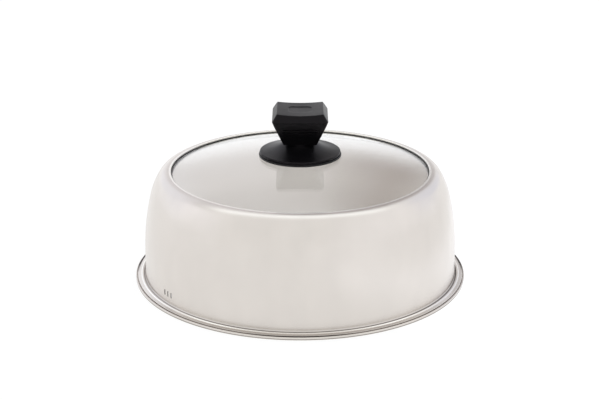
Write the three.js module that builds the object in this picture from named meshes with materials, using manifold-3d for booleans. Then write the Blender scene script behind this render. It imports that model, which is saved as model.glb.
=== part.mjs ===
// Lid of a round electric griddle: a spun stainless steel dome with a domed glass top and a black knob.
// Millimetres, +Z up. The lid stands on the flat underside of its rim at z = 0, centred on the Z axis,
// with the front face of its square knob towards -Y.

import * as THREE from "three";
import { mergeVertices } from "three/addons/utils/BufferGeometryUtils.js";
import Module from "manifold-3d";

// Driving dimensions

const RIM_RADIUS = 152.5; // outside of the folded rim: a 12 inch lid
const SHEET = 0.8; // stainless steel sheet
const FACETS = 56; // facets round the dome and the glass
const KNOB_FACETS = 40; // facets round the knob's base and seal
const SMALL_FACETS = 20; // facets round the screw and its washers

const CREST = { r: 119.8, z: 101.4 }; // highest ring of the steel shoulder
const SHOULDER_ARCS = [
  // radius, slope at its lower end in degrees from level, chords
  { radius: 11.4, slope: 57.8, chords: 5 },
  { radius: 60, slope: 76.1, chords: 2 },
  { radius: 215, slope: 89.1, chords: 3 },
];
const WALL_FOOT_Z = 4.7; // lower end of the straight wall
const RIM = {
  crease: { r: 144.8, z: 3.7 }, // at the foot of the wall
  bead: { r: 145.8, z: 4.55, width: 1.5 }, // low bead round the crease
  flange: { r: 150.3, z: 3.75 }, // outer end of the sloping flange
  gutter: { inner: 150.6, floor: 1.6, corner: 0.3 }, // narrow channel between the flange and the edge
  fold: { radius: 0.7, top: 2.9 }, // the edge is folded back on itself
  underside: { inner: 149.7, corner: 0.5, roof: 2.7 }, // flat ring that the lid stands on, and the hollow in it
  bend: { r: 143.5, z: 2.5 }, // inner side of the bend at the foot of the wall
};
const SEAT_RADIUS = 117.6; // steel band that holds the gasket
const SEAT_Z = 95; // ledge under the gasket
const LEDGE_RADIUS = 115; // inner edge of that ledge

const VENT = { width: 1.6, height: 5.2, z: 13.2, azimuth: -144.1, pitch: 2.1, count: 3 };

const GLASS = { apex: 116, radius: 430, edge: 117, thickness: 4, hole: 5, bevel: 0.6 };
const GASKET = { lip: 116.7, top: 100.6 }; // inner radius of its lips, top of the upper one
const FIT = 0.1; // clearance between neighbouring pieces

const KNOB_BASE = { radius: 36.6, edgeZ: 118.8, neckRadius: 14.2, neckZ: 128 };
const SEAL = { radius: 37.5, thickness: 1.6 };
const SPIGOT = { side: 12, height: 2 }; // square key between the knob's base and its grip
const GRIP = { bottomZ: 128.1, bottomSide: 30, waistZ: 151.7, waistSide: 50.3, topZ: 158.6, topSide: 41.5 };
const GRIP_DIP = 1.4; // hollow across the top of the grip
const GRIP_CORNER = 4; // radius of the upright corners at the waist
const GROOVE = { length: 31, width: 1.2, depth: 0.6, pitch: 2.4, topZ: 144.4, count: 3 };
const THUMB_RECESS = { width: 21, depth: 18, corner: 5, sink: 0.6 };

const SCREW = { radius: 2.4, length: 30, headRadius: 4.75, headHeight: 3.6 };
const HOLE_RADIUS = 2.8; // screw's hole through the knob's base, seal and washers
const GLASS_CURVE = 0.35; // drop of the glass over the pad's radius, with its clearance
const PAD_WASHER = { radius: 9, thickness: 1.5 };
const STEEL_WASHER = { radius: 7.5, thickness: 1 };
const LOCK_WASHER = { inner: 2.7, outer: 4.6, thickness: 1.1 };
const INSERT = { radius: 4, bore: 2.55, length: 10 };

// Geometry helpers

const wasm = await Module();
wasm.setup();

const radians = THREE.MathUtils.degToRad;

// A solid of revolution about Z from a closed outline of [r, z] points, listed with the material on its left.
function turned(outline, facets) {
  const points = [...outline, outline[0]].map(([r, z]) => new THREE.Vector2(r, z));
  return new THREE.LatheGeometry(points, facets).rotateX(Math.PI / 2);
}

// Points of an arc in the r, z plane, with angles in degrees from +r towards +z.
function arc(r, z, radius, from, to, chords) {
  const points = [];
  for (let i = 0; i <= chords; i++) {
    const angle = radians(from + ((to - from) * i) / chords);
    points.push([r + radius * Math.cos(angle), z + radius * Math.sin(angle)]);
  }
  return points;
}

// A THREE geometry as a manifold-3d solid.
function solid(geometry) {
  const bare = geometry.clone();
  bare.deleteAttribute("normal");
  bare.deleteAttribute("uv");
  const merged = mergeVertices(bare, 1e-4);
  return new wasm.Manifold(
    new wasm.Mesh({
      numProp: 3,
      vertProperties: new Float32Array(merged.attributes.position.array),
      triVerts: new Uint32Array(merged.index.array),
    }),
  );
}

// A manifold-3d solid as a THREE geometry.
function geometryOf(body) {
  const mesh = body.getMesh();
  const geometry = new THREE.BufferGeometry();
  geometry.setAttribute("position", new THREE.BufferAttribute(mesh.vertProperties, 3));
  geometry.setIndex(new THREE.BufferAttribute(mesh.triVerts, 1));
  geometry.computeVertexNormals();
  return geometry;
}

// The first geometry with every tool geometry cut away.
function cut(geometry, tools) {
  let body = solid(geometry);
  for (const tool of tools) body = body.subtract(solid(tool));
  return geometryOf(body);
}

// All the geometries joined into one body.
function join(geometries) {
  let body = solid(geometries[0]);
  for (const other of geometries.slice(1)) body = body.add(solid(other));
  return geometryOf(body);
}

// A rounded rectangle in the XY plane.
function roundedRectangle(width, height, corner) {
  const x = width / 2 - corner;
  const y = height / 2 - corner;
  const shape = new THREE.Shape();
  shape.absarc(x, y, corner, 0, Math.PI / 2, false);
  shape.absarc(-x, y, corner, Math.PI / 2, Math.PI, false);
  shape.absarc(-x, -y, corner, Math.PI, 1.5 * Math.PI, false);
  shape.absarc(x, -y, corner, 1.5 * Math.PI, 2 * Math.PI, false);
  return shape;
}

function extruded(shape, depth, curveSegments) {
  return new THREE.ExtrudeGeometry(shape, { depth, curveSegments, bevelEnabled: false });
}

// A square frustum that stands on z = bottom.
function squareFrustum(bottom, bottomSide, top, topSide) {
  const flat = Math.SQRT1_2; // half side to corner radius
  const frustum = new THREE.CylinderGeometry(topSide * flat, bottomSide * flat, top - bottom, 4, 1);
  return frustum.rotateY(Math.PI / 4).rotateX(Math.PI / 2).translate(0, 0, (top + bottom) / 2);
}

// Heights on the glass

const glassTop = (r) => GLASS.apex - GLASS.radius + Math.sqrt(GLASS.radius ** 2 - r ** 2);
const glassBottom = (r) => glassTop(r) - GLASS.thickness;

// Points [r, height(r)] at even steps from one radius to another.
function sweep(height, from, to, steps) {
  const points = [];
  for (let i = 0; i <= steps; i++) {
    const r = from + ((to - from) * i) / steps;
    points.push([r, height(r)]);
  }
  return points;
}

// Steel dome

// One face of the sheet from the crest down to the foot of the wall: inset 0 outside, SHEET inside.
function wallFace(inset, footZ) {
  const points = [];
  let { r, z } = CREST;
  let slope = 0;
  for (const stretch of SHOULDER_ARCS) {
    const centreR = r - stretch.radius * Math.sin(radians(slope));
    const centreZ = z - stretch.radius * Math.cos(radians(slope));
    const face = arc(centreR, centreZ, stretch.radius - inset, 90 - slope, 90 - stretch.slope, stretch.chords);
    points.push(...(points.length ? face.slice(1) : face));
    slope = stretch.slope;
    r = centreR + stretch.radius * Math.sin(radians(slope));
    z = centreZ + stretch.radius * Math.cos(radians(slope));
  }
  const [lastR, lastZ] = points[points.length - 1];
  points.push([lastR + (lastZ - footZ) / Math.tan(radians(slope)), footZ]);
  return points;
}

// The rim outside the wall, from the crease out over the fold and back in along the underside.
function rimFace() {
  const { crease, bead, flange, gutter, fold, underside, bend } = RIM;
  const gutterOuter = RIM_RADIUS - 2 * fold.radius;
  return [
    [crease.r, crease.z],
    [bead.r, bead.z],
    [bead.r + bead.width, bead.z - 0.4],
    [flange.r, flange.z],
    [gutter.inner, flange.z - gutter.corner],
    [gutter.inner, gutter.floor + gutter.corner],
    [(gutter.inner + gutterOuter) / 2, gutter.floor],
    [gutterOuter, gutter.floor + gutter.corner],
    ...arc(RIM_RADIUS - fold.radius, fold.top - fold.radius, fold.radius, 180, 0, 4),
    [RIM_RADIUS, underside.corner],
    [RIM_RADIUS - underside.corner, 0],
    [underside.inner + underside.corner, 0],
    [underside.inner, underside.corner],
    [underside.inner, underside.roof],
    [bead.r, underside.roof],
    [bend.r, bend.z],
  ];
}

// The steel band that turns down inside the crest and in under the gasket.
function seatBand() {
  const bend = 1;
  const top = CREST.z - 0.15;
  const seat = [
    [SEAT_RADIUS + SHEET, SEAT_Z - SHEET],
    [LEDGE_RADIUS, SEAT_Z - SHEET],
    [LEDGE_RADIUS, SEAT_Z],
    [SEAT_RADIUS, SEAT_Z],
  ];
  return [
    [SEAT_RADIUS + SHEET + 0.2, top - SHEET],
    [SEAT_RADIUS + SHEET, top - SHEET - 0.2],
    ...seat,
    ...arc(SEAT_RADIUS + bend, top - bend, bend, 180, 90, 3),
  ];
}

function ventTool(azimuth) {
  const shape = roundedRectangle(VENT.width, VENT.height, VENT.width / 2 - 0.01);
  const tool = extruded(shape, 12, 4).rotateX(Math.PI / 2).translate(0, -138, 0);
  return tool.rotateZ(radians(azimuth + 90)).translate(0, 0, VENT.z);
}

function domeShell() {
  const outside = wallFace(0, WALL_FOOT_Z);
  const inside = wallFace(SHEET, WALL_FOOT_Z + SHEET).reverse();
  const outline = [...outside, ...rimFace(), ...inside, ...seatBand()];
  const vents = [];
  for (let i = 0; i < VENT.count; i++) {
    vents.push(ventTool(VENT.azimuth + (i - (VENT.count - 1) / 2) * VENT.pitch));
  }
  return cut(turned(outline.reverse(), FACETS), vents);
}

// Glass and gasket

function glassPanel() {
  const { edge, hole, bevel } = GLASS;
  const outline = [
    ...sweep(glassBottom, hole, edge - bevel, 5),
    [edge, glassBottom(edge) + bevel],
    [edge, glassTop(edge) - bevel],
    ...sweep(glassTop, edge - bevel, hole, 5),
  ];
  return turned(outline, FACETS);
}

// A silicone channel that grips the glass's edge inside the steel band.
function glassGasket() {
  const inner = GLASS.edge + FIT;
  const outer = SEAT_RADIUS - FIT;
  const outline = [
    [GASKET.lip, SEAT_Z + FIT],
    [outer, SEAT_Z + FIT],
    [outer, GASKET.top - 0.2],
    [outer - 0.2, GASKET.top],
    [GASKET.lip, GASKET.top],
    [GASKET.lip, glassTop(GASKET.lip) + FIT],
    [inner, glassTop(GLASS.edge) + FIT],
    [inner, glassBottom(GLASS.edge) - FIT],
    [GASKET.lip, glassBottom(GASKET.lip) - FIT],
  ];
  return turned(outline, FACETS);
}

function holeBush() {
  const inner = HOLE_RADIUS - 0.2;
  const outer = GLASS.hole - 0.2;
  const bottom = GLASS.apex - GLASS.thickness + 0.1;
  const top = GLASS.apex - 0.1;
  return turned([[inner, bottom], [outer, bottom], [outer, top], [inner, top]], SMALL_FACETS);
}

// Knob

const sealBottom = (r) => glassTop(r) + FIT;
const sealTop = (r) => sealBottom(r) + SEAL.thickness;
const baseBottom = (r) => sealTop(r) + FIT;

function knobSeal() {
  const rounding = 0.4;
  const outline = [
    ...sweep(sealBottom, HOLE_RADIUS, SEAL.radius - rounding, 3),
    [SEAL.radius, sealBottom(SEAL.radius) + rounding],
    [SEAL.radius, sealTop(SEAL.radius) - rounding],
    ...sweep(sealTop, SEAL.radius - rounding, HOLE_RADIUS, 3),
  ];
  return turned(outline, KNOB_FACETS);
}

// A trumpet-shaped moulding, cored out from below, with a square key on its neck.
function knobBase() {
  const { radius, edgeZ, neckRadius, neckZ } = KNOB_BASE;
  const bossRadius = 9;
  const skirtRadius = 25;
  const flare = new THREE.QuadraticBezierCurve(
    new THREE.Vector2(radius - 0.5, edgeZ),
    new THREE.Vector2(20.5, 121.2),
    new THREE.Vector2(neckRadius, neckZ - 0.4),
  );
  const outline = [
    [HOLE_RADIUS, baseBottom(HOLE_RADIUS)],
    [bossRadius, baseBottom(bossRadius)],
    [bossRadius, 123.5],
    [neckRadius - 2.4, 123.5],
    [skirtRadius - 3, 118.6],
    [skirtRadius, baseBottom(skirtRadius)],
    [radius - 0.5, baseBottom(radius - 0.5)],
    [radius, baseBottom(radius) + 0.4],
    [radius, edgeZ - 0.5],
    ...flare.getPoints(6).map((p) => [p.x, p.y]),
    [neckRadius - 0.4, neckZ],
    [HOLE_RADIUS, neckZ],
  ];
  const key = new THREE.BoxGeometry(SPIGOT.side, SPIGOT.side, SPIGOT.height + 1);
  key.translate(0, 0, neckZ + (SPIGOT.height - 1) / 2);
  const hole = new THREE.CylinderGeometry(HOLE_RADIUS, HOLE_RADIUS, 40, KNOB_FACETS);
  hole.rotateX(Math.PI / 2).translate(0, 0, neckZ);
  return cut(join([turned(outline, KNOB_FACETS), key]), [hole]);
}

// The hollow across the top of the grip: a shallow circular segment that runs from front to back.
function dipTool() {
  const half = GRIP.topSide / 2;
  const radius = (half ** 2 + GRIP_DIP ** 2) / (2 * GRIP_DIP);
  const reach = half + 3;
  const angle = Math.asin(reach / radius);
  const centreZ = GRIP.topZ - GRIP_DIP + radius;
  const shape = new THREE.Shape();
  shape.absarc(0, centreZ, radius, 1.5 * Math.PI - angle, 1.5 * Math.PI + angle, false);
  return extruded(shape, 80, 12).rotateX(Math.PI / 2).translate(0, 40, 0);
}

// A groove across the front of the grip, at right angles to its leaning face.
function grooveTool(z) {
  const { bottomZ, bottomSide, waistZ, waistSide } = GRIP;
  const lean = (waistSide - bottomSide) / 2 / (waistZ - bottomZ);
  const faceY = -(bottomSide / 2 + (z - bottomZ) * lean);
  const tool = new THREE.BoxGeometry(GROOVE.length, 2 * GROOVE.depth, GROOVE.width);
  return tool.rotateX(Math.atan(lean)).translate(0, faceY, z);
}

function knobGrip() {
  const { bottomZ, bottomSide, waistZ, waistSide, topZ, topSide } = GRIP;
  const head = join([
    squareFrustum(bottomZ, bottomSide, waistZ, waistSide),
    squareFrustum(waistZ, waistSide, topZ, topSide),
  ]);
  const corners = extruded(roundedRectangle(waistSide, waistSide, GRIP_CORNER), 40, 3);
  corners.translate(0, 0, bottomZ - 5);
  const rounded = geometryOf(solid(head).intersect(solid(corners)));

  const recessShape = roundedRectangle(THUMB_RECESS.width, THUMB_RECESS.depth, THUMB_RECESS.corner);
  const recess = extruded(recessShape, 5, 4).translate(0, 0, topZ - GRIP_DIP - THUMB_RECESS.sink);

  const socketSide = SPIGOT.side + 4 * FIT;
  const socketHeight = SPIGOT.height + 2 * FIT;
  const socket = new THREE.BoxGeometry(socketSide, socketSide, 2 * socketHeight).translate(0, 0, bottomZ);
  const insertRadius = INSERT.radius + FIT;
  const pocketHeight = 2 * (socketHeight + INSERT.length + 1);
  const pocket = new THREE.CylinderGeometry(insertRadius, insertRadius, pocketHeight, SMALL_FACETS);
  pocket.rotateX(Math.PI / 2).translate(0, 0, bottomZ);

  const grooves = [];
  for (let i = 0; i < GROOVE.count; i++) {
    const front = grooveTool(GROOVE.topZ - i * GROOVE.pitch);
    grooves.push(front, front.clone().rotateZ(Math.PI));
  }
  return cut(rounded, [dipTool(), recess, socket, pocket, ...grooves]);
}

// Fixings, stacked from the glass down

const padZ = GLASS.apex - GLASS.thickness - GLASS_CURVE - PAD_WASHER.thickness;
const washerZ = padZ - FIT - STEEL_WASHER.thickness;
const lockWasherZ = washerZ - FIT - LOCK_WASHER.thickness;
const screwHeadZ = lockWasherZ - FIT;

function flatWasher({ radius, thickness }, z) {
  const outline = [[HOLE_RADIUS, z], [radius, z], [radius, z + thickness], [HOLE_RADIUS, z + thickness]];
  return turned(outline, SMALL_FACETS);
}

// A split ring with flat faces.
function lockWasher() {
  const { inner, outer, thickness } = LOCK_WASHER;
  const halfGap = radians(7);
  const shape = new THREE.Shape();
  shape.absarc(0, 0, outer, halfGap, 2 * Math.PI - halfGap, false);
  shape.absarc(0, 0, inner, 2 * Math.PI - halfGap, halfGap, true);
  return extruded(shape, thickness, SMALL_FACETS).translate(0, 0, lockWasherZ);
}

function knobScrew() {
  const { radius, length, headRadius, headHeight } = SCREW;
  const headZ = screwHeadZ;
  const bottom = headZ - headHeight;
  const outline = [
    [0, bottom],
    [3.2, bottom + 0.3],
    [headRadius - 0.3, bottom + 1.3],
    [headRadius, headZ],
    [radius, headZ],
    [radius, headZ + length - 1],
    [radius - 1, headZ + length],
    [0, headZ + length],
  ];
  const points = outline.map(([r, z]) => new THREE.Vector2(r, z));
  const blank = new THREE.LatheGeometry(points, SMALL_FACETS).rotateX(Math.PI / 2);
  const across = new THREE.BoxGeometry(5, 1, 4).translate(0, 0, bottom);
  return cut(blank, [join([across, across.clone().rotateZ(Math.PI / 2)])]);
}

function threadedInsert() {
  const { radius, bore, length } = INSERT;
  const bottom = GRIP.bottomZ + SPIGOT.height + 4 * FIT;
  const middle = bottom + length / 2;
  const neck = radius - 0.5;
  const outline = [
    [bore, bottom],
    [radius, bottom],
    [radius, middle - 1],
    [neck, middle - 0.6],
    [neck, middle + 0.6],
    [radius, middle + 1],
    [radius, bottom + length],
    [bore, bottom + length],
  ];
  return turned(outline, SMALL_FACETS);
}

// Assembly

const steel = { color: 0xcdcac4, roughness: 0.3, metalness: 1 };
const glass = { color: 0xe4e6e4, roughness: 0.05, metalness: 0 };
const silicone = { color: 0x161616, roughness: 0.6, metalness: 0 };
const blackPlastic = { color: 0x1c1b1e, roughness: 0.45, metalness: 0 };
const plated = { color: 0xb9bbbc, roughness: 0.35, metalness: 1 };
const brass = { color: 0xb8954c, roughness: 0.35, metalness: 1 };

const lid = new THREE.Group();
lid.name = "griddle_lid";

function add(name, geometry, finish) {
  const mesh = new THREE.Mesh(geometry, new THREE.MeshStandardMaterial(finish));
  mesh.name = name;
  lid.add(mesh);
}

add("dome_shell", domeShell(), steel);
add("glass_gasket", glassGasket(), silicone);
add("glass_panel", glassPanel(), glass);
add("hole_bush", holeBush(), silicone);
add("knob_seal", knobSeal(), silicone);
add("knob_base", knobBase(), blackPlastic);
add("knob_grip", knobGrip(), blackPlastic);
add("threaded_insert", threadedInsert(), brass);
add("glass_pad_washer", flatWasher(PAD_WASHER, padZ), silicone);
add("steel_washer", flatWasher(STEEL_WASHER, washerZ), plated);
add("lock_washer", lockWasher(), plated);
add("knob_screw", knobScrew(), plated);

export default lid;
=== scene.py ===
"""Looks for the lid of a round electric griddle: a spun steel dome, a domed glass top and a black knob.

Profiles are in millimetres in the part's own frame and become metres when a mesh is made.
"""

import math

import bmesh
import bpy
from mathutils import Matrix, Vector


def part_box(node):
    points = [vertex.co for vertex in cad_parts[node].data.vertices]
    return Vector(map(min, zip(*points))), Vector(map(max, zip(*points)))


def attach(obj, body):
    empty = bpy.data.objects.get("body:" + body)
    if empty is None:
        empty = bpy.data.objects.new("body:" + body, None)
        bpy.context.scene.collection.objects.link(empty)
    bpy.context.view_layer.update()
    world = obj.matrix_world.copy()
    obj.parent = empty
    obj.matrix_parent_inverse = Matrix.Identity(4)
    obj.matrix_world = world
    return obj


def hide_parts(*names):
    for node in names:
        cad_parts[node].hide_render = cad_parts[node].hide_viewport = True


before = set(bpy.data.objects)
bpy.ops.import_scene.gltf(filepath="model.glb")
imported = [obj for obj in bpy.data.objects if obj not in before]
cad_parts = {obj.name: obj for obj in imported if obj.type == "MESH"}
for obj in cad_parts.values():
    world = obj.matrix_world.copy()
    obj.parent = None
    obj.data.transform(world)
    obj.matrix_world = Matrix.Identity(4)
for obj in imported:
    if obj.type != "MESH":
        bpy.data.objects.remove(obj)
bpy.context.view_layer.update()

MM = 0.001

# Sizes in mm: first those that the frame's boxes give, then the others, as in the part

RIM_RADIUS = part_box("dome_shell")[1].x / MM
CREST_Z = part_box("dome_shell")[1].z / MM
TOP_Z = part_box("knob_grip")[1].z / MM
GRIP_BOTTOM_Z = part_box("knob_grip")[0].z / MM
WAIST_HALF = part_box("knob_grip")[1].x / MM
BASE_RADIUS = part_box("knob_base")[1].x / MM
SEAL_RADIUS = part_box("knob_seal")[1].x / MM
GLASS_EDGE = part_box("glass_panel")[1].x / MM

GLASS_APEX = 116.0
GLASS_SPHERE = 430.0
GLASS_THICKNESS = 4.0
GLASS_HOLE = 5.0
GLASS_BEVEL = 0.7
GLASS_STEPS = 60

SHEET = 0.8
CREST_R = 119.8
CREST_SLOPE = 8.0  # degrees that the crest leans outward where the shoulder begins
CREST_RISE = 0.36  # how far the crest's inner edge stands above the shoulder
SHOULDER_ARCS = ((11.4, 57.8, 22), (60.0, 76.1, 10), (215.0, 89.1, 26))  # radius, slope at its end, steps
WALL_FOOT_Z = 4.7
WALL_FOOT_FILLET = 2.5
SEAT_RADIUS = 117.6
SEAT_Z = 95.0
LEDGE_RADIUS = 115.0
GASKET_TOP_Z = 100.4
LIP_RADIUS = 116.7
SCREW_HOLE = 2.8
SEAL_THICKNESS = 1.6
FIT = 0.1

VENT_WIDTH, VENT_HEIGHT, VENT_Z = 1.6, 5.2, 13.2
VENT_AZIMUTHS = (-146.2, -144.1, -142.0)
VENT_REACHES = (138.0, 148.0)  # where the tool that cuts a vent starts and ends
VENT_POINTS = 40

BASE_EDGE_Z = 118.8
BASE_NECK_RADIUS = 14.2
KEY_HALF = 6.0

GRIP_BOTTOM_HALF = 15.0
GRIP_WAIST_Z = 151.7
GRIP_TOP_HALF = 20.75
GRIP_TOP_RIM = 3.0
GRIP_CORNER = 4.0
GRIP_DIP = 1.4
GROOVE_HALF_LENGTH = 15.5
GROOVE_DEPTH = 0.6
GROOVE_CENTRES = (144.4, 142.0, 139.6)

DOME_FACETS = 320
KNOB_FACETS = 192
SMALL_FACETS = 64
GRIP_POINTS = 320
SHARP_ANGLE = 38  # degrees
FILLET_LIMIT = 0.49  # the most that a fillet takes of the side next to it
MERGE_DISTANCE = 1e-7  # metres


# Outlines


def arc(r, z, radius, start, end, steps):
    """Corners without fillets along an arc, angles in degrees from +r towards +z."""
    angles = [math.radians(start + (end - start) * i / steps) for i in range(steps + 1)]
    return [(r + radius * math.cos(a), z + radius * math.sin(a), 0) for a in angles]


def filleted(corners, steps=5):
    """A closed outline of (r, z) points from (r, z, fillet radius) corners."""
    outline = []
    for i, (r, z, radius) in enumerate(corners):
        here = Vector((r, z))
        if radius <= 0:
            outline.append(here)
            continue
        back = Vector(corners[i - 1][:2]) - here
        ahead = Vector(corners[(i + 1) % len(corners)][:2]) - here
        half_angle = back.angle(ahead) / 2
        limit = FILLET_LIMIT * min(back.length, ahead.length)
        reach = min(radius / math.tan(half_angle), limit)
        centre = here + (back.normalized() + ahead.normalized()).normalized() * (reach / math.cos(half_angle))
        first = here + back.normalized() * reach - centre
        last = here + ahead.normalized() * reach - centre
        turn = first.angle_signed(last)
        for step in range(steps + 1):
            share = step / steps
            outline.append(centre + rotated(first, -turn * share))
    return [(p.x, p.y) for p in outline]


def rotated(vector, angle):
    c, s = math.cos(angle), math.sin(angle)
    return Vector((vector.x * c - vector.y * s, vector.x * s + vector.y * c))


def polar(radius, angle):
    return radius * math.cos(angle), radius * math.sin(angle)


def smooth_step(value, low, high):
    share = min(1.0, max(0.0, (value - low) / (high - low)))
    return share * share * (3 - 2 * share)


def swept(height, start, end, steps, fillet=0.0):
    """Corners along a curve of height over radius, with a fillet at both ends."""
    radii = [start + (end - start) * i / steps for i in range(steps + 1)]
    corners = [(r, height(r), 0) for r in radii]
    corners[0] = (*corners[0][:2], fillet)
    corners[-1] = (*corners[-1][:2], fillet)
    return corners


def loop_points(half_x, half_y, corner, count):
    """Evenly spaced points round a rounded rectangle in a plane, starting on +X."""
    straight_x, straight_y = 2 * (half_x - corner), 2 * (half_y - corner)
    quarter = math.pi * corner / 2
    runs = [straight_y / 2, quarter, straight_x, quarter, straight_y, quarter, straight_x, quarter]
    runs.append(straight_y / 2)
    total = sum(runs)
    points = []
    for i in range(count):
        along = total * i / count
        run = 0
        while along > runs[run] and run < len(runs) - 1:
            along -= runs[run]
            run += 1
        points.append(loop_point(half_x, half_y, corner, run, along))
    return points


def loop_point(half_x, half_y, corner, run, along):
    """The point a given way along one of the nine runs of a rounded rectangle."""
    inner_x, inner_y = half_x - corner, half_y - corner
    if run in (1, 3, 5, 7):
        signs = {1: (1, 1), 3: (-1, 1), 5: (-1, -1), 7: (1, -1)}[run]
        turn = (run - 1) / 2 * math.pi / 2 + (along / corner if corner else 0)
        return signs[0] * inner_x + corner * math.cos(turn), signs[1] * inner_y + corner * math.sin(turn)
    return {
        0: (half_x, along),
        2: (inner_x - along, half_y),
        4: (-half_x, inner_y - along),
        6: (-inner_x + along, -half_y),
        8: (half_x, -inner_y + along),
    }[run]


# Meshes


def finished(name, bm, material):
    """An object from a bmesh: smooth but for its sharp edges, riding on the lid."""
    bmesh.ops.remove_doubles(bm, verts=bm.verts, dist=MERGE_DISTANCE)
    bmesh.ops.recalc_face_normals(bm, faces=bm.faces)
    mesh = bpy.data.meshes.new(name)
    bm.to_mesh(mesh)
    bm.free()
    piece = bpy.data.objects.new(name, mesh)
    bpy.context.scene.collection.objects.link(piece)
    mesh.materials.append(material)
    mesh.shade_smooth()
    mesh.set_sharp_from_angle(angle=math.radians(SHARP_ANGLE))
    weighted = piece.modifiers.new("weighted_normals", "WEIGHTED_NORMAL")
    weighted.keep_sharp = True
    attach(piece, "root")
    return piece


def skin(bm, low, high):
    """Quads between two loops of vertices."""
    for i in range(len(low)):
        j = (i + 1) % len(low)
        bm.faces.new((low[i], low[j], high[j], high[i]))


def lofted(name, loops, material, closed=False):
    """Skins loops of (x, y, z) points in mm. The first and last are capped, or joined when closed."""
    bm = bmesh.new()
    rows = [[bm.verts.new(Vector(p) * MM) for p in loop] for loop in loops]
    for low, high in zip(rows, rows[1:]):
        skin(bm, low, high)
    if closed:
        skin(bm, rows[-1], rows[0])
    else:
        for row in (rows[0], rows[-1]):
            middle = bm.verts.new(sum((v.co for v in row), Vector()) / len(row))
            for i in range(len(row)):
                bm.faces.new((row[i], row[(i + 1) % len(row)], middle))
    return finished(name, bm, material)


def cutting_tool(name, loops, material):
    """A closed tool from a few loops of (x, y, z) points in mm, for a boolean cut."""
    bm = bmesh.new()
    rows = [[bm.verts.new(Vector(p) * MM) for p in loop] for loop in loops]
    for low, high in zip(rows, rows[1:]):
        skin(bm, low, high)
    bm.faces.new(rows[0])
    bm.faces.new(rows[-1])
    bmesh.ops.recalc_face_normals(bm, faces=bm.faces)
    mesh = bpy.data.meshes.new(name)
    bm.to_mesh(mesh)
    bm.free()
    mesh.materials.append(material)
    tool = bpy.data.objects.new(name, mesh)
    bpy.context.scene.collection.objects.link(tool)
    return tool


def circle(radius, z, facets):
    turn = 2 * math.pi / facets
    return [(*polar(radius, i * turn), z) for i in range(facets)]


def turned(name, outline, facets, material):
    """A ring-shaped solid of revolution about Z from a closed outline of (r, z) points."""
    loops = [circle(r, z, facets) for r, z in outline]
    return lofted(name, loops, material, closed=True)


# Procedural materials


NOISE_LOW, NOISE_HIGH = 0.3, 0.7  # most of a noise's values lie between these
# Painted shade: the dark colour laid into the steel's crease, gutter and fold lines and low on its wall
PAINTED_SHADE_COLOUR = (0.06, 0.048, 0.04)
# A brown tint on the right of the wall's inner face
BROWN_INNER_TINT = (0.3, 0.24, 0.19)
# Painted light: a lighter copy of the steel for the wall's inner face
INNER_PAINTED_LIGHT = (0.77, 0.73, 0.69)
# Painted highlight: the colour of the bright lines along the rim and crest
PAINTED_HIGHLIGHT = (0.93, 0.91, 0.86)


class Nodes:
    """Adds nodes to a tree and wires them. An input is given as a value or as the socket that feeds it."""

    def __init__(self, tree):
        self.tree = tree

    def connect(self, socket, value):
        if isinstance(value, bpy.types.NodeSocket):
            self.tree.links.new(value, socket)
        else:
            socket.default_value = value

    def node(self, kind, inputs=(), **settings):
        made = self.tree.nodes.new(kind)
        for key, value in settings.items():
            setattr(made, key, value)
        for key, value in dict(inputs).items():
            self.connect(made.inputs[key], value)
        return made

    def axes(self, vector):
        """The x, y and z of a vector."""
        return self.node("ShaderNodeSeparateXYZ", {0: vector}).outputs

    def math(self, operation, a, b=0.0):
        return self.node("ShaderNodeMath", {0: a, 1: b}, operation=operation).outputs[0]

    def joined(self, operation, values):
        """All the values brought together by one operation."""
        result, *others = values
        for other in others:
            result = self.math(operation, result, other)
        return result

    def product(self, *values):
        return self.joined("MULTIPLY", values)

    def largest(self, *values):
        return self.joined("MAXIMUM", values)

    def weighted(self, *terms):
        """The sum of (value, weight) terms."""
        return self.joined("ADD", [self.product(value, weight) for value, weight in terms])

    def mapped(self, value, low, high, to_low, to_high, **settings):
        inputs = {"Value": value, 1: low, 2: high, 3: to_low, 4: to_high}
        return self.node("ShaderNodeMapRange", inputs, **settings).outputs[0]

    def blend(self, factor, first, second):
        """A mix of two colours, each of them (r, g, b) or a socket."""
        colours = [c if isinstance(c, bpy.types.NodeSocket) else (*c, 1) for c in (first, second)]
        inputs = {0: factor, 6: colours[0], 7: colours[1]}
        return self.node("ShaderNodeMix", inputs, data_type="RGBA").outputs[2]


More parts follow.
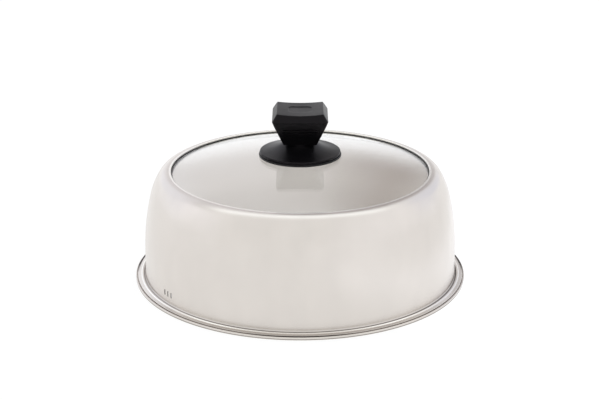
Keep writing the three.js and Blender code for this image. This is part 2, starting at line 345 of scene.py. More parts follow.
class Surface(Nodes):
    """A material with one Principled shader. Coordinates are the object's own, in metres."""

    def __init__(self, name):
        self.material = bpy.data.materials.new(name)
        self.material.use_nodes = True
        super().__init__(self.material.node_tree)
        self.shader = self.tree.nodes["Principled BSDF"]

    def position(self):
        return self.node("ShaderNodeTexCoord").outputs["Object"]

    def radius(self, x, y):
        """Distance from the Z axis."""
        return self.math("SQRT", self.weighted((x, x), (y, y)))

    def ring_coordinates(self, across):
        """Coordinates that change slowly round Z and fast along the profile, for brushing in rings."""
        x, y, z = self.axes(self.position())
        radius = self.radius(x, y)
        profile = self.product(self.math("SUBTRACT", z, radius), across)
        inputs = {0: self.math("DIVIDE", x, radius), 1: self.math("DIVIDE", y, radius), 2: profile}
        return self.node("ShaderNodeCombineXYZ", inputs).outputs[0]

    def noise(self, vector, scale, detail=3.0, roughness=0.5):
        inputs = {"Vector": vector, "Scale": scale, "Detail": detail, "Roughness": roughness}
        return self.node("ShaderNodeTexNoise", inputs).outputs["Fac"]

    def spread(self, noise, to_low=0.0, to_high=1.0):
        """A noise stretched over a range."""
        return self.mapped(noise, NOISE_LOW, NOISE_HIGH, to_low, to_high)

    def bump(self, height, distance, strength=1.0):
        inputs = {"Height": height, "Distance": distance, "Strength": strength}
        return self.node("ShaderNodeBump", inputs).outputs[0]

    def set(self, **values):
        """Sets sockets of the shader, named with underscores for spaces."""
        for key, value in values.items():
            self.connect(self.shader.inputs[key.replace("_", " ")], value)


def scaled(colour, factor):
    return tuple(factor * c for c in colour)


def brushed_steel(name, colour, roughness, anisotropy):
    """Steel brushed in rings with a brown tint inside, painted highlights on its edges, a lighter inner face
    as painted light, and painted shade in dark lines on its rim and low on its wall.
    """
    graph = Surface(name)
    x, y, z = graph.axes(graph.position())
    radius = graph.radius(x, y)

    def band(value, low, high, edge):
        """1 between low and high, fading to 0 over edge on either side, all in mm."""
        rise = graph.mapped(value, (low - edge) * MM, low * MM, 0.0, 1.0)
        fall = graph.mapped(value, high * MM, (high + edge) * MM, 1.0, 0.0)
        return graph.product(rise, fall)

    def zone(radii, heights):
        """A ring round Z, from the low end, high end and edge of its radii and of its heights."""
        return graph.product(band(radius, *radii), band(z, *heights))

    # Brushing
    fine = graph.noise(graph.ring_coordinates(5200.0), 1.0, 3.0)
    broad = graph.noise(graph.ring_coordinates(420.0), 1.6, 4.0)
    patches = graph.noise(graph.ring_coordinates(4.0), 7.0, 2.0)
    lines = graph.weighted((fine, 0.7), (broad, 0.3))
    tone = graph.spread(graph.weighted((lines, 0.15), (patches, 0.85)))
    unshaded_colour = graph.blend(tone, scaled(colour, 0.978), scaled(colour, 1.022))

    # Inner face of the wall painted lighter as painted light, with a brown tint on its right
    normal = graph.node("ShaderNodeNewGeometry").outputs["Normal"]
    inputs = {0: normal, 1: graph.position()}
    outward = graph.node("ShaderNodeVectorMath", inputs, operation="DOT_PRODUCT").outputs["Value"]
    inside = graph.product(
        graph.mapped(outward, 0.0, -0.02, 0.0, 1.0),
        graph.mapped(radius, 0.1445, 0.144, 0.0, 1.0),
    )
    tint = graph.product(
        inside,
        graph.mapped(x, 0.02, 0.11, 0.0, 0.68),
        graph.mapped(z, 0.1, 0.096, 0.0, 1.0),
    )
    unshaded_colour = graph.blend(inside, unshaded_colour, INNER_PAINTED_LIGHT)
    unshaded_colour = graph.blend(tint, unshaded_colour, BROWN_INNER_TINT)

    # Painted highlights on the bead, the ledge, the crest and the foot edge
    bead = graph.product(
        zone((145.8, 147.6, 0.5), (3.7, 5.0, 0.1)),
        graph.mapped(y, -0.145, -0.11, 0.2, 0.85),
        graph.mapped(x, 0.08, 0.13, 1.0, 0.35),
    )
    ledge = graph.product(
        zone((147.6, 150.7, 0.4), (3.4, 4.3, 0.1)),
        graph.mapped(y, -0.13, -0.06, 0.0, 0.8),
    )
    crest = zone((117.5, 119.3, 0.3), (100.3, 103.0, 0.1))
    foot_edge = zone((151.0, 153.0, 0.2), (-1.0, 0.3, 0.3))
    unshaded_colour = graph.blend(graph.largest(bead, ledge, crest, foot_edge), unshaded_colour, PAINTED_HIGHLIGHT)

    # Painted shade: dark lines in the crease, gutter, step and fold, and darker over the flange's front, at
    # the wall's foot and low inside
    crease = graph.product(
        zone((143.95, 145.0, 0.15), (0.0, 4.15, 0.25)),
        graph.mapped(x, -0.14, -0.06, 0.5, 0.85),
    )
    gutter_at_back = graph.product(
        zone((149.7, 151.9, 0.15), (2.7, 4.2, 0.1)),
        graph.mapped(y, -0.012, 0.01, 0.0, 1.0),
    )
    step = graph.product(
        zone((150.4, 150.7, 0.08), (1.0, 3.45, 0.2)),
        graph.mapped(y, -0.151, -0.141, 1.0, 0.1),
        0.95,
    )
    flange_at_front = graph.product(
        zone((149.4, 150.8, 1.8), (2.6, 4.2, 0.1)),
        graph.mapped(y, -0.13, -0.06, 0.26, 0.0),
    )
    fold_line = graph.product(zone((151.0, 153.0, 0.5), (0.85, 1.3, 0.25)), 0.7)
    wall_foot = graph.product(band(radius, 140.0, 144.2, 0.5), graph.mapped(z, 0.0045, 0.008, 0.17, 0.0))
    low_inside = graph.product(inside, graph.mapped(z, 0.045, 0.01, 0.0, 0.14))
    # All the painted shade together
    stain_and_painted_shade = graph.largest(crease, gutter_at_back, step, flange_at_front, fold_line, wall_foot, low_inside)

    graph.set(
        Base_Color=graph.blend(stain_and_painted_shade, unshaded_colour, PAINTED_SHADE_COLOUR),
        Metallic=1.0,
        Roughness=graph.spread(lines, roughness, roughness + 0.003),
        Anisotropic=anisotropy,
        Anisotropic_Rotation=0.25,
        Tangent=graph.node("ShaderNodeTangent", direction_type="RADIAL", axis="Z").outputs[0],
        Normal=graph.bump(lines, 0.00001, 0.004),
    )
    return graph.material


def clear_glass(name):
    graph = Surface(name)
    smears = graph.noise(graph.position(), 22.0, 4.0, 0.6)
    graph.set(
        Base_Color=(0.98, 0.983, 0.98, 1),
        Roughness=graph.mapped(smears, 0.35, 0.75, 0.0, 0.035),
        Transmission_Weight=1.0,
        IOR=1.52,
    )
    return graph.material


def moulded_plastic(name, colour, roughness, gloss):
    """Black plastic with a fine moulded grain, a little more worn in places."""
    graph = Surface(name)
    texture = graph.noise(graph.position(), 2600.0, 2.0, 0.6)
    wear = graph.noise(graph.position(), 60.0, 3.0)
    graph.set(
        Base_Color=graph.blend(graph.spread(texture), scaled(colour, 0.86), scaled(colour, 1.18)),
        Roughness=graph.spread(wear, roughness - 0.05, roughness + 0.05),
        Specular_IOR_Level=gloss,
        Specular_Tint=(1.0, 0.93, 1.0, 1),
        Normal=graph.bump(texture, 0.00005, 0.35),
    )
    return graph.material


def silicone(name, colour, roughness, gloss=0.5):
    """Black silicone with a little dust on it."""
    graph = Surface(name)
    dust = graph.noise(graph.position(), 900.0, 3.0)
    graph.set(
        Base_Color=graph.blend(graph.mapped(dust, 0.35, 0.75, 0.0, 1.0), colour, scaled(colour, 1.5)),
        Roughness=graph.spread(dust, roughness, roughness + 0.12),
        Specular_IOR_Level=gloss,
        Normal=graph.bump(dust, 0.00004, 0.3),
    )
    return graph.material


def turned_metal(name, colour, roughness):
    """Metal with the fine rings that a lathe leaves."""
    graph = Surface(name)
    rings = graph.noise(graph.ring_coordinates(9000.0), 1.0, 2.0)
    stain_and_painted_shade = graph.noise(graph.position(), 300.0, 3.0)
    graph.set(
        Base_Color=graph.blend(graph.spread(stain_and_painted_shade), scaled(colour, 0.88), colour),
        Metallic=1.0,
        Roughness=graph.spread(rings, roughness - 0.06, roughness + 0.08),
        Normal=graph.bump(rings, 0.00002, 0.4),
    )
    return graph.material


STEEL = brushed_steel("spun_stainless", (0.70, 0.66, 0.62), 0.27, 0.7)
# The vents' cut faces are dark as painted shade in the slits
VENT_EDGE_SHADE = turned_metal("vent_edge_painted_shade", (0.05, 0.045, 0.04), 0.5)
GLASS = clear_glass("tempered_glass")
GASKET = silicone("gasket_silicone", (0.008, 0.008, 0.008), 0.45)
PAD = silicone("pad_silicone", (0.02, 0.02, 0.021), 0.5)
SEAL = silicone("seal_silicone", (0.008, 0.0077, 0.0085), 0.35, 0.25)
BASE_PLASTIC = moulded_plastic("knob_base_plastic", (0.0018, 0.0017, 0.0021), 0.36, 0.17)
GRIP_PLASTIC = moulded_plastic("knob_grip_plastic", (0.0018, 0.0017, 0.0021), 0.36, 0.16)
BRASS = turned_metal("machined_brass", (0.80, 0.62, 0.30), 0.3)
PLATED = turned_metal("bright_fixings", (0.66, 0.67, 0.68), 0.26)


# Steel dome


def wall_face(inset):
    """One face of the sheet from the crest down to the foot of the wall: 0 outside, SHEET inside."""
    points = []
    first = SHOULDER_ARCS[0][0]
    slope = CREST_SLOPE
    r = CREST_R + first * math.sin(math.radians(slope))
    z = CREST_Z - first * (1 - math.cos(math.radians(slope)))
    for radius, end, steps in SHOULDER_ARCS:
        centre_r = r - radius * math.sin(math.radians(slope))
        centre_z = z - radius * math.cos(math.radians(slope))
        face = arc(centre_r, centre_z, radius - inset, 90 - slope, 90 - end, steps)
        points += face[1:] if points else face
        slope = end
        r = centre_r + radius * math.sin(math.radians(slope))
        z = centre_z + radius * math.cos(math.radians(slope))
    last_r, last_z, _ = points[-1]
    foot = WALL_FOOT_Z + inset
    for share in (0.25, 0.5, 0.75, 1.0):
        drop = share * (last_z - foot)
        points.append((last_r + drop / math.tan(math.radians(slope)), last_z - drop, 0))
    points[-1] = (*points[-1][:2], WALL_FOOT_FILLET)
    return points


def rim_face():
    """Corners (r, z, fillet) outward along the top of the rim, then back along its underside."""
    gutter_in, gutter_out, gutter_floor = 150.6, RIM_RADIUS - 1.4, 1.6
    fold_top, foot_in, roof = 2.9, 149.7, 2.7
    seam_r, seam_depth = 150.6, 0.25
    top = [
        (144.8, 3.5, 0.15),  # crease at the foot of the wall
        (145.2, 4.1, 0.25),
        (146.5, 4.6, 0.5),  # bead
        (147.6, 3.95, 0.7),
        (gutter_in, 3.75, 0.3),  # outer end of the flange
        (gutter_in, gutter_floor, 0.3),
        (gutter_out, gutter_floor, 0.3),
        (gutter_out, fold_top, 0.48),
        (RIM_RADIUS, fold_top, 0.48),
    ]
    underside = [
        (RIM_RADIUS, 0.0, 1.1),
        (seam_r + 0.1, 0.0, 0.08),  # seam where the folded sheet ends
        (seam_r, seam_depth, 0.05),
        (seam_r - 0.1, 0.0, 0.08),
        (foot_in, 0.0, 0.4),
        (foot_in, roof, 0.25),
        (145.6, roof, 0.6),
        (143.5, 2.5, 0.5),  # bend into the inner face of the wall
    ]
    return top + underside


def seat_band():
    """The band that turns down inside the crest and in under the gasket."""
    top = CREST_Z + CREST_RISE
    outer = SEAT_RADIUS + SHEET
    return [
        (outer + 0.4, top - SHEET - 0.02, 0),
        (outer, top - SHEET - 0.1, 0.4),
        (outer, SEAT_Z - SHEET, 0.9),
        (LEDGE_RADIUS, SEAT_Z - SHEET, 0.3),
        (LEDGE_RADIUS, SEAT_Z, 0.3),
        (SEAT_RADIUS, SEAT_Z, 0.3),
        (SEAT_RADIUS, top, 0.4),
    ]


def vent_cutter(azimuth):
    """A stadium-shaped tool through the wall at an azimuth."""
    outline = loop_points(VENT_WIDTH / 2, VENT_HEIGHT / 2, VENT_WIDTH / 2, VENT_POINTS)
    loops = [[(reach, y, VENT_Z + z) for y, z in outline] for reach in VENT_REACHES]
    cutter = cutting_tool("vent_cutter", loops, VENT_EDGE_SHADE)
    cutter.rotation_euler.z = math.radians(azimuth)
    return cutter


def cut_away(piece, cutters):
    """Cuts the tools out of a piece's own mesh and removes them."""
    for cutter in cutters:
        boolean = piece.modifiers.new("cut", "BOOLEAN")
        boolean.operation = "DIFFERENCE"
        boolean.solver = "EXACT"
        boolean.object = cutter
        boolean.material_mode = "TRANSFER"
        piece.modifiers.move(len(piece.modifiers) - 1, 0)
    weighted = piece.modifiers["weighted_normals"]
    weighted.show_viewport = False
    bpy.context.view_layer.update()
    evaluated = piece.evaluated_get(bpy.context.evaluated_depsgraph_get())
    piece.data = bpy.data.meshes.new_from_object(evaluated)
    for modifier in [m for m in piece.modifiers if m.type == "BOOLEAN"]:
        piece.modifiers.remove(modifier)
    for cutter in cutters:
        bpy.data.objects.remove(cutter)
    weighted.show_viewport = True
    piece.data.set_sharp_from_angle(angle=math.radians(SHARP_ANGLE))


def dome_shell():
    outline = filleted(wall_face(0) + rim_face() + wall_face(SHEET)[::-1] + seat_band(), 4)
    shell = turned("dome_shell_spun", outline, DOME_FACETS, STEEL)
    cut_away(shell, [vent_cutter(a) for a in VENT_AZIMUTHS])
    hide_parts("dome_shell")


# Glass and gasket


def glass_top(r):
    return GLASS_APEX - GLASS_SPHERE + math.sqrt(GLASS_SPHERE**2 - r**2)


def glass_panel():
    bottom = swept(lambda r: glass_top(r) - GLASS_THICKNESS, GLASS_HOLE, GLASS_EDGE, GLASS_STEPS, GLASS_BEVEL)
    top = swept(glass_top, GLASS_EDGE, GLASS_HOLE, GLASS_STEPS, GLASS_BEVEL)
    panel = turned("glass_dome", filleted(bottom + top, 5), DOME_FACETS, GLASS)
    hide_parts("glass_panel")


def glass_gasket():
    """A channel that grips the edge of the glass, with a rounded lip above and a flat one below."""
    inner = GLASS_EDGE + FIT
    outer = SEAT_RADIUS - FIT
    above = glass_top(GLASS_EDGE) + FIT
    below = glass_top(GLASS_EDGE) - GLASS_THICKNESS - FIT
    outline = [
        (LIP_RADIUS, SEAT_Z + FIT, 0.2),
        (outer, SEAT_Z + FIT, 0.2),
        (outer, GASKET_TOP_Z, 0.2),
        (LIP_RADIUS, GASKET_TOP_Z, 0.3),
        (LIP_RADIUS, glass_top(LIP_RADIUS) + FIT, 0.1),
        (inner, above, 0.1),
        (inner, below, 0.1),
        (LIP_RADIUS, glass_top(LIP_RADIUS) - GLASS_THICKNESS - FIT, 0.1),
    ]
    gasket = turned("glass_channel_gasket", filleted(outline), DOME_FACETS, GASKET)
    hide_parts("glass_gasket")


def hole_bush():
    low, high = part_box("hole_bush")
    bottom, top, outer = low.z / MM, high.z / MM, high.x / MM
    inner, rounding = SCREW_HOLE - 0.2, 0.3
    corners = [(inner, bottom), (outer, bottom), (outer, top), (inner, top)]
    outline = filleted([(r, z, rounding) for r, z in corners])
    bush = turned("glass_hole_sleeve", outline, SMALL_FACETS, PAD)
    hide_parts("hole_bush")


# Knob


def seal_bottom(r):
    return glass_top(r) + FIT


def knob_seal():
    steps, rounding = 24, 0.6
    bottom = swept(seal_bottom, SCREW_HOLE, SEAL_RADIUS, steps, rounding)
    top = swept(lambda r: seal_bottom(r) + SEAL_THICKNESS, SEAL_RADIUS, SCREW_HOLE, steps, rounding)
    seal = turned("knob_base_seal", filleted(bottom + top), KNOB_FACETS, SEAL)
    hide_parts("knob_seal")


def base_bottom(r):
    return seal_bottom(r) + SEAL_THICKNESS + FIT


def flare(share):
    """A point of the trumpet's quadratic curve, from its edge (0) to its neck (1)."""
    start, pull, end = (BASE_RADIUS - 0.5, BASE_EDGE_Z), (20.5, 121.2), (BASE_NECK_RADIUS, 127.6)
    weights = ((1 - share) ** 2, 2 * share * (1 - share), share**2)
    return tuple(sum(w * p[i] for w, p in zip(weights, (start, pull, end))) for i in (0, 1))


def knob_base():
    """The trumpet, its boss and coring below, and the square key on its neck."""
    key_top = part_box("knob_base")[1].z / MM
    neck_z = GRIP_BOTTOM_Z - FIT
    boss, skirt = 9.0, 25.0
    core_in, core_out, core_top, core_low = 11.8, 22.0, 123.5, 118.6
    flare_steps = 28
    outline = [
        (SCREW_HOLE, base_bottom(SCREW_HOLE), 0.2),
        (boss, base_bottom(boss), 0.2),
        (boss, core_top, 0.5),
        (core_in, core_top, 0.8),
        (core_out, core_low, 0.8),
        (skirt, base_bottom(skirt), 0.2),
        *swept(base_bottom, skirt + 1, BASE_RADIUS - 1, 6),
        (BASE_RADIUS, base_bottom(BASE_RADIUS), 0.8),
        (BASE_RADIUS, BASE_EDGE_Z - 0.05, 0.6),
    ]
    outline += [(*flare(i / flare_steps), 0) for i in range(1, flare_steps + 1)]
    outline += [(BASE_NECK_RADIUS, neck_z, 0.3)]
    loops = [circle(r, z, KNOB_FACETS) for r, z in filleted(outline)]
    key_levels = (
        (KEY_HALF + 0.3, neck_z, 1.2),
        (KEY_HALF, neck_z + 0.3, 1.0),
        (KEY_HALF, key_top - 0.4, 1.0),
        (KEY_HALF - 0.4, key_top, 1.0),
    )
    for half, z, corner in key_levels:
        loops.append([(x, y, z) for x, y in loop_points(half, half, corner, KNOB_FACETS)])
    loops.append(circle(SCREW_HOLE + 0.3, key_top, KNOB_FACETS))
    loops.append(circle(SCREW_HOLE, key_top - 0.3, KNOB_FACETS))
    base = lofted("knob_flared_base", loops, BASE_PLASTIC, closed=True)
    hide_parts("knob_base")


def groove_depth(x, z):
    """How deep the grip grooves are at a place on the front or back face."""
    bottom, half_width, run_out = 0.3, 0.62, 0.7
    across = sum(1 - smooth_step(abs(z - centre), bottom, half_width) for centre in GROOVE_CENTRES)
    along = 1 - smooth_step(abs(x), GROOVE_HALF_LENGTH - run_out, GROOVE_HALF_LENGTH)
    return GROOVE_DEPTH * across * along


def grip_corner(z):
    """Radius of the upright corners: wide at the waist, tighter towards the foot and the top."""
    foot_corner, top_corner = 1.0, 1.2
    if z < GRIP_WAIST_Z:
        share = (z - GRIP_BOTTOM_Z) / (GRIP_WAIST_Z - GRIP_BOTTOM_Z)
        return foot_corner + (GRIP_CORNER - foot_corner) * share**6
    share = (z - GRIP_WAIST_Z) / (TOP_Z - GRIP_WAIST_Z)
    return top_corner + (GRIP_CORNER - top_corner) * (1 - share) ** 2


def saddle(x):
    """Height of the hollowed top at a distance from its middle."""
    radius = (GRIP_TOP_HALF**2 + GRIP_DIP**2) / (2 * GRIP_DIP)
    return TOP_Z - GRIP_DIP + radius - math.sqrt(radius**2 - x**2)


def grip_loop(half_x, half_y, corner, z):
    """One level of the grip, with the grooves in its faces and the saddle pressed into its top."""
    widening = 1.5  # how far in from the top's edge the loops widen as they sink
    loop = []
    for x, y in loop_points(half_x, half_y, corner, GRIP_POINTS):
        level = z
        if z > GRIP_WAIST_Z:
            share = (z - GRIP_WAIST_Z) / (TOP_Z - GRIP_WAIST_Z)
            level = GRIP_WAIST_Z + share * (min(saddle(x), TOP_Z) - GRIP_WAIST_Z)
            wider = (z - level) * (WAIST_HALF - GRIP_TOP_HALF) / (TOP_Z - GRIP_WAIST_Z)
            scale = 1 + wider / half_x if half_x > GRIP_TOP_HALF - widening else 1
            x, y = x * scale, y * scale
        elif abs(y) > half_y - 0.01:
            y -= math.copysign(groove_depth(x, z), y)
        loop.append((x, y, level))
    return loop


def grip_levels():
    """Half side and height of each level, up the outside of the grip to its top edge."""
    lean = (WAIST_HALF - GRIP_BOTTOM_HALF) / (GRIP_WAIST_Z - GRIP_BOTTOM_Z)
    heights = {GRIP_BOTTOM_Z + 1.5 + i for i in range(21)}
    steps = (0.0, 0.3, 0.38, 0.46, 0.54, 0.62, 0.75)  # above and below the middle of a groove
    for centre in GROOVE_CENTRES:
        heights |= {centre + side * step for side in (-1, 1) for step in steps}
    face = [(GRIP_BOTTOM_HALF + (z - GRIP_BOTTOM_Z) * lean, z, 0) for z in sorted(heights)]
    corners = [(GRIP_BOTTOM_HALF - 3, GRIP_BOTTOM_Z, 0), (GRIP_BOTTOM_HALF, GRIP_BOTTOM_Z, 0.5), *face]
    corners += [(WAIST_HALF, GRIP_WAIST_Z, 0.9)]
    slope = (WAIST_HALF - GRIP_TOP_HALF) / (TOP_Z - GRIP_WAIST_Z)
    corners += [(WAIST_HALF - (z - GRIP_WAIST_Z) * slope, z, 0) for z in (152.4, 153.2, 154.2, 155.6)]
    corners += [(GRIP_TOP_HALF, TOP_Z, 0.7), (GRIP_TOP_HALF - GRIP_TOP_RIM, TOP_Z, 0)]
    return filleted(corners, 5)


def knob_grip():
    """The grip from the pocket for its insert, out under its foot, up its faces and into its thumb recess."""
    socket_half, socket_top = KEY_HALF + 0.2, GRIP_BOTTOM_Z + 2.2
    pocket_r, pocket_top = 4.1, GRIP_BOTTOM_Z + 13.2
    recess_x, recess_y, recess_corner, sink = 10.5, 9.0, 5.0, 0.6
    pocket_levels = (
        (pocket_r - 1.5, pocket_top),
        (pocket_r, pocket_top - 0.8),
        (pocket_r, socket_top + 0.3),
        (pocket_r + 0.3, socket_top),
    )
    socket_levels = (
        (socket_half, socket_top),
        (socket_half, GRIP_BOTTOM_Z + 0.4),
        (socket_half + 0.4, GRIP_BOTTOM_Z),
    )
    recess_levels = (  # how far each loop shrinks and drops
        (-0.35, 0),
        (-0.15, 0.04),
        (-0.03, 0.15),
        (0, 0.3),
        (0.1, 0.45),
        (0.3, 0.57),
        (0.6, sink),
    )
    loops = [circle(r, z, GRIP_POINTS) for r, z in pocket_levels]
    loops += [grip_loop(half, half, 1.0, z) for half, z in socket_levels]
    loops += [grip_loop(half, half, min(grip_corner(z), half), z) for half, z in grip_levels()]
    land, edge, land_corner = GRIP_TOP_HALF - GRIP_TOP_RIM, 0.4, 1.4
    for share in (0.25, 0.5, 0.75, 0.92):
        half_x = land + share * (recess_x + edge - land)
        half_y = land + share * (recess_y + edge - land)
        loops.append(grip_loop(half_x, half_y, land_corner + share * (recess_corner - land_corner), TOP_Z))
    for shrink, drop in recess_levels:
        loops.append(grip_loop(recess_x - shrink, recess_y - shrink, recess_corner - shrink, TOP_Z - drop))
    for share in (0.8, 0.6, 0.4, 0.2, 0.05):
        loops.append(grip_loop(recess_x * share, recess_y * share, recess_corner * share * 0.9, TOP_Z - sink))
    grip = lofted("knob_faceted_grip", loops, GRIP_PLASTIC)
    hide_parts("knob_grip")


# Fixings under the glass


def threaded_insert():
    """A brass insert: a bore, two knurled bands and a plain waist between them."""
    low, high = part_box("threaded_insert")
    bottom, top, outer = low.z / MM, high.z / MM, high.x / MM
    bore, waist, teeth, depth = 2.55, outer - 0.5, 32, 0.22
    points = 6 * teeth
    middle = (bottom + top) / 2
    outline = filleted([
        (bore, bottom, 0.25),
        (outer, bottom, 0.3),
        (outer, middle - 1.0, 0.15),
        (waist, middle - 0.6, 0.15),
        (waist, middle + 0.6, 0.15),
        (outer, middle + 1.0, 0.15),
        (outer, top, 0.3),
        (bore, top, 0.25),
    ])
    loops = []
    for r, z in outline:
        loop = []
        for i in range(points):
            angle = 2 * math.pi * i / points
            ridge = (0.5 - 0.5 * math.cos(teeth * angle)) * depth if r > waist + 0.25 else 0
            loop.append((*polar(r - ridge, angle), z))
        loops.append(loop)
    insert = lofted("knurled_brass_insert", loops, BRASS, closed=True)
    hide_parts("threaded_insert")


def flat_washer(name, node, material, rounding):
    low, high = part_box(node)
    bottom, top, outer = low.z / MM, high.z / MM, high.x / MM
    corners = [(SCREW_HOLE, bottom), (outer, bottom), (outer, top), (SCREW_HOLE, top)]
    washer = turned(name, filleted([(r, z, rounding) for r, z in corners]), SMALL_FACETS, material)
    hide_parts(node)


def lock_washer():
    """A split spring ring whose two ends stand a little apart in height."""
    low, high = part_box("lock_washer")
    bottom, top, outer = low.z / MM, high.z / MM, high.x / MM
    inner, rise, half_gap, steps, rounding = 2.75, 0.25, math.radians(7), 96, 0.12
    corners = [(inner, bottom), (outer, bottom), (outer, top - rise), (inner, top - rise)]
    section = filleted([(r, z, rounding) for r, z in corners])
    loops = []
    for i in range(steps + 1):
        share = i / steps
        angle = half_gap + share * 2 * (math.pi - half_gap)
        loops.append([(*polar(r, angle), z + rise * share) for r, z in section])
    washer = lofted("split_lock_washer", loops, PLATED)
    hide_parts("lock_washer")


def knob_screw():
    """A pan-head screw: a cross recess in its head, a plain shank and a real helical thread."""
    low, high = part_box("knob_screw")
    bottom, top = low.z / MM, high.z / MM
    head_r, head_z, shank_r = high.x / MM, bottom + 3.6, 2.4
    pitch, thread_depth, thread_start, run_in = 0.8, 0.42, head_z + 7, 1.2
    tip, rows_a_turn, sides = 0.9, 8, 48
    head = filleted([
        (0.02, bottom, 0),
        (3.1, bottom, 1.2),
        (head_r, bottom + 1.7, 0.9),
        (head_r, head_z, 0.25),
        (shank_r, head_z, 0.2),
        (shank_r, thread_start, 0),
    ])[:-1]
    loops = [circle(r, z, sides) for r, z in head]
    rows = int((top - tip - thread_start) / (pitch / rows_a_turn))
    for row in range(rows + 1):
        z = thread_start + row * pitch / rows_a_turn
        fade = smooth_step(z, thread_start, thread_start + run_in)
        loop = []
        for i in range(sides):
            phase = (z / pitch - i / sides) % 1.0
            valley = abs(2 * phase - 1)
            r = shank_r - thread_depth * fade * valley
            loop.append((*polar(r, 2 * math.pi * i / sides), z))
        loops.append(loop)
    loops.append(circle(shank_r - 1.0, top, sides))
    screw = lofted("knob_fixing_screw", loops, PLATED)
    cut_away(screw, [cross_cutter(bottom)])
    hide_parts("knob_screw")


def cross_cutter(bottom):
    """A tapered cross, wide at the face of the screw's head and narrow inside it."""
    loops = []
    for arm, half, z in ((2.9, 0.62, -0.5), (2.5, 0.5, 0.1), (1.5, 0.36, 2.0)):
        quarter = [(arm, -half), (arm, half), (half, half)]
        points = [rotated(Vector(p), turn * math.pi / 2) for turn in range(4) for p in quarter]
        loops.append([(p.x, p.y, bottom + z) for p in points])
    return cutting_tool("cross_cutter", loops, PLATED)


# Studio

FLOOR_SIZE = 9.0
FLOOR_DROP = 0.0002  # keeps the paper just below the rim
FLOOR_GLOW = 0.82
WHITE = (1.0, 1.0, 1.0)
RIGHT_GLOW = (1.2, 1.21, 1.24)  # how much more the paper glows close to the right of the lid
SURROUND_COLOUR = (1.02, 1.02, 1.02)
RIGHT_COLOUR = (1.12, 1.12, 1.14)
SOFT_BOX_COLOUR = (1.65, 1.66, 1.78)
HORIZON_COLOUR = (1.16, 1.17, 1.2)
BEHIND_LEFT_COLOUR = (0.84, 0.82, 0.85)
BEHIND_RIGHT_COLOUR = (0.42, 0.39, 0.4)
BESIDE_LEFT_COLOUR = (1.08, 1.1, 1.18)
BESIDE_RIGHT_COLOUR = (0.94, 0.96, 1.06)
OVERHEAD_COLOUR = (1.5, 1.56, 1.6)

CAMERA_LENS = 87.6
CAMERA_DISTANCE = 1.343
CAMERA_PITCH = math.radians(19.87)
CAMERA_AIM = Vector((-0.0001, 0, 0.0705))


def studio_floor():
    """A sheet of white paper that glows, so that it stays white round the lid and lights its wall."""
    graph = Surface("studio_paper")
    fibres = graph.noise(graph.position(), 180.0, 3.0)
    x = graph.axes(graph.position())[0]
    near_right = graph.product(
        graph.mapped(x, 0.08, 0.2, 0.0, 1.0),
        graph.mapped(x, 0.22, 0.34, 1.0, 0.0),
    )
    graph.set(
        Base_Color=graph.blend(graph.spread(fibres), (0.19, 0.19, 0.19), (0.21, 0.21, 0.21)),
        Roughness=0.9,
        Specular_IOR_Level=0.0,
        Emission_Color=graph.blend(near_right, WHITE, RIGHT_GLOW),
        Emission_Strength=FLOOR_GLOW,
        Normal=graph.bump(fibres, 0.0001, 0.1),
    )
    bm = bmesh.new()
    bmesh.ops.create_grid(bm, x_segments=8, y_segments=8, size=FLOOR_SIZE)
    mesh = bpy.data.meshes.new("studio_floor")
    bm.to_mesh(mesh)
    bm.free()
    floor = bpy.data.objects.new("studio_floor", mesh)
    bpy.context.scene.collection.objects.link(floor)
    mesh.materials.append(graph.material)
    floor.location.z = -FLOOR_DROP


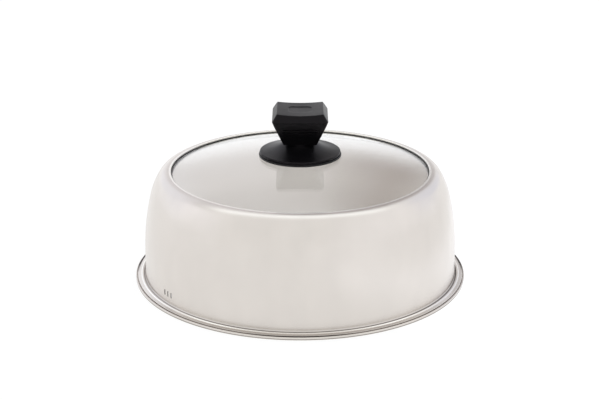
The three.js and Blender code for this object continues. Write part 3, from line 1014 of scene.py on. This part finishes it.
def studio_world():
    """A pale surround with soft patches of light, laid one over another. The lid's front faces -Y."""
    world = bpy.data.worlds.new("studio_surround")
    world.use_nodes = True
    bpy.context.scene.world = world
    graph = Nodes(world.node_tree)
    x, y, z = graph.axes(graph.node("ShaderNodeTexCoord").outputs["Generated"])

    def ramp(value, low, high):
        """A soft rise from 0 at low to 1 at high, or a fall when low is above high."""
        return graph.mapped(value, low, high, 0.0, 1.0, interpolation_type="SMOOTHSTEP")

    behind = ramp(y, 0.05, 0.6)
    halfway_up = graph.product(ramp(z, 0.08, 0.22), ramp(z, 0.75, 0.55))
    soft_box = graph.product(
        ramp(x, -0.15, -0.55),
        ramp(x, -1.05, -0.8),
        ramp(y, -0.5, 0.1),
        ramp(z, 0.8, 0.2),
        ramp(z, -0.2, 0.02),
    )
    horizon = graph.product(behind, ramp(x, 0.4, 0.1), ramp(z, 0.45, 0.15))
    panel = graph.product(behind, ramp(x, 0.32, 0.2), ramp(z, 0.1, 0.42), ramp(z, 0.85, 0.68))
    panel_colour = graph.blend(ramp(x, -0.14, 0.14), BEHIND_LEFT_COLOUR, BEHIND_RIGHT_COLOUR)

    colour = graph.blend(ramp(x, 0.15, 0.9), SURROUND_COLOUR, RIGHT_COLOUR)
    colour = graph.blend(soft_box, colour, SOFT_BOX_COLOUR)
    colour = graph.blend(horizon, colour, HORIZON_COLOUR)
    colour = graph.blend(panel, colour, panel_colour)
    beside_left = graph.product(behind, ramp(x, -0.2, -0.34), halfway_up)
    colour = graph.blend(beside_left, colour, BESIDE_LEFT_COLOUR)
    beside_right = graph.product(behind, ramp(x, 0.26, 0.38), halfway_up)
    colour = graph.blend(beside_right, colour, BESIDE_RIGHT_COLOUR)
    overhead = graph.product(ramp(z, 0.74, 0.86), ramp(y, -0.1, 0.35))
    colour = graph.blend(overhead, colour, OVERHEAD_COLOUR)
    graph.connect(graph.tree.nodes["Background"].inputs["Color"], colour)


def camera():
    """A long lens from the front, looking down on the lid at about 20 degrees."""
    data = bpy.data.cameras.new("camera")
    data.sensor_width = 36.0
    data.lens = CAMERA_LENS
    view = bpy.data.objects.new("camera", data)
    bpy.context.scene.collection.objects.link(view)
    back, up = CAMERA_DISTANCE * math.cos(CAMERA_PITCH), CAMERA_DISTANCE * math.sin(CAMERA_PITCH)
    view.location = CAMERA_AIM + Vector((0, -back, up))
    view.rotation_euler = (math.pi / 2 - CAMERA_PITCH, 0, 0)
    bpy.context.scene.camera = view


def build():
    dome_shell()
    glass_panel()
    glass_gasket()
    hole_bush()
    knob_seal()
    knob_base()
    knob_grip()
    threaded_insert()
    flat_washer("silicone_pad_washer", "glass_pad_washer", PAD, 0.3)
    flat_washer("plated_flat_washer", "steel_washer", PLATED, 0.15)
    lock_washer()
    knob_screw()
    studio_floor()
    studio_world()
    camera()
    bpy.context.scene.view_settings.view_transform = "Standard"


build()
